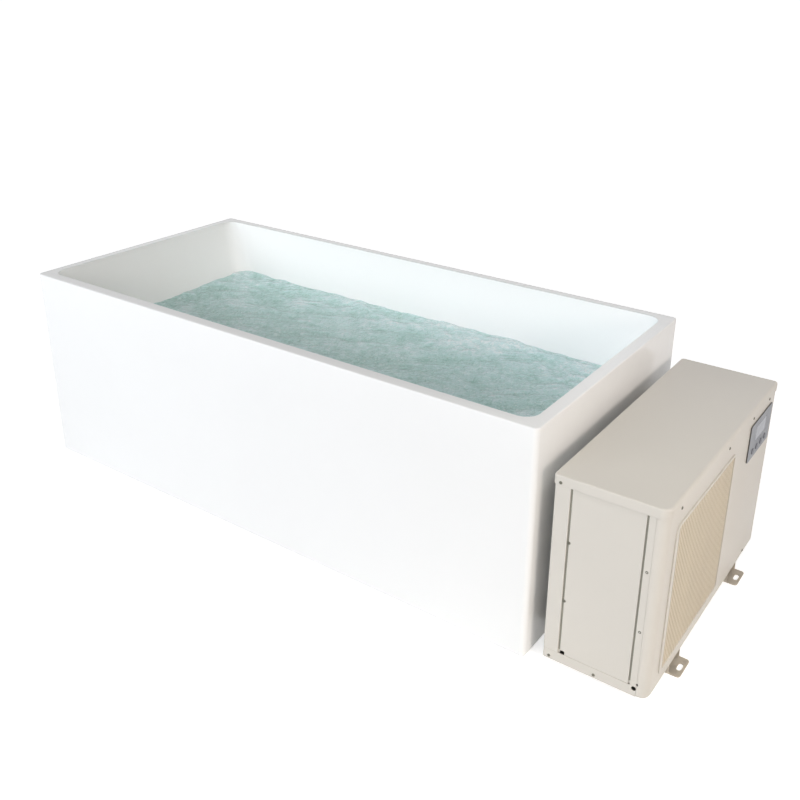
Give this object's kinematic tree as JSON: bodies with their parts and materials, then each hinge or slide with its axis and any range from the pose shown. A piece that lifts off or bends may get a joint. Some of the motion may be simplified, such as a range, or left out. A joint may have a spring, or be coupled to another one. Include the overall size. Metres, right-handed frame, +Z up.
{
  "type": "cold plunge tub",
  "caption": "Rectangular free-standing plunge tub with an insulated basin, beside a sheet-metal water chiller with a fan grille and keypad that cools and circulates its water.",
  "frame": {"origin": "on the floor, in the middle of the box round the tub and its chiller", "axes": "+X along the tub towards the chiller, +Y towards the back, where the hose tails are, +Z up"},
  "size_m": [2.018, 0.842, 0.6],
  "materials": {
    "white_shell": "gloss",
    "foam": "matte",
    "board": "matte",
    "galvanised": "satin",
    "steel": "polished",
    "black_plastic": "satin",
    "grey_plastic": "satin",
    "cream_paint": "satin",
    "cream_plastic": "satin",
    "keypad_plastic": "satin",
    "display_film": "gloss",
    "copper": "satin",
    "fin_aluminium": "satin",
    "black_paint": "satin",
    "rubber": "matte"
  },
  "bodies": {
    "base": {"outer_skirt": "white_shell", "basin": "white_shell", "insulation_jacket": "foam", "base_board": "board", "cradle_bar_1": "galvanised", "cradle_bar_2": "galvanised", "cradle_bar_3": "galvanised", "levelling_foot_1": "black_plastic", "levelling_foot_2": "black_plastic", "levelling_foot_3": "black_plastic", "levelling_foot_4": "black_plastic", "levelling_foot_5": "black_plastic", "levelling_foot_6": "black_plastic", "waste_flange": "steel", "waste_nut": "black_plastic", "suction_fitting": "white_shell", "suction_nut": "black_plastic", "suction_tail": "black_plastic", "suction_grate": "white_shell", "return_fitting": "white_shell", "return_nut": "black_plastic", "return_tail": "black_plastic", "base_pan": "cream_paint", "foot_rail_left": "galvanised", "foot_rail_right": "galvanised", "front_panel": "cream_paint", "fan_grille": "cream_plastic", "left_end_panel": "cream_paint", "rear_left_post": "cream_paint", "front_left_post": "cream_paint", "right_end_panel": "cream_paint", "coil_guard": "cream_plastic", "top_cover": "cream_paint", "partition": "galvanised", "electrical_box": "grey_plastic", "control_panel": "keypad_plastic", "display_window": "display_film", "condenser_coil": "fin_aluminium", "motor_bracket": "galvanised", "fan_motor": "black_paint", "compressor": "black_paint", "compressor_pad": "rubber", "discharge_pipe": "copper", "suction_pipe": "copper", "liquid_line": "copper", "evaporator_tank": "black_plastic", "pump_casing": "grey_plastic", "pump_motor": "black_paint", "inlet_pipe": "rubber", "outlet_pipe": "rubber", "inlet_port": "grey_plastic", "outlet_port": "grey_plastic", "cable_gland": "black_plastic"},
    "fan": {"fan_blade": "grey_plastic"},
    "impeller": {"pump_impeller": "grey_plastic"},
    "plug": {"drain_plug": "steel"},
    "key_1": {"button_1": "grey_plastic"},
    "key_2": {"button_2": "grey_plastic"},
    "key_3": {"button_3": "grey_plastic"},
    "key_4": {"button_4": "grey_plastic"}
  },
  "joints": [
    {"name": "fan_spin", "type": "hinge", "parent": "base", "child": "fan", "pos_m": [0.9116, -0.15697, 0.243], "axis": [1, 0, 0], "continuous": true},
    {"name": "impeller_spin", "type": "hinge", "parent": "base", "child": "impeller", "pos_m": [0.9287, 0.26773, 0.092], "axis": [0, 1, 0], "continuous": true},
    {"name": "plug_lift", "type": "slide", "parent": "base", "child": "plug", "axis": [0, 0, 1], "range_m": [0, 0.012]},
    {"name": "button_1_press", "type": "slide", "parent": "base", "child": "key_1", "axis": [-1, 0, 0], "range_m": [0, 0.0012], "stiffness_N_per_m": 1200},
    {"name": "button_2_press", "type": "slide", "parent": "base", "child": "key_2", "axis": [-1, 0, 0], "range_m": [0, 0.0012], "stiffness_N_per_m": 1200},
    {"name": "button_3_press", "type": "slide", "parent": "base", "child": "key_3", "axis": [-1, 0, 0], "range_m": [0, 0.0012], "stiffness_N_per_m": 1200},
    {"name": "button_4_press", "type": "slide", "parent": "base", "child": "key_4", "axis": [-1, 0, 0], "range_m": [0, 0.0012], "stiffness_N_per_m": 1200}
  ]
}
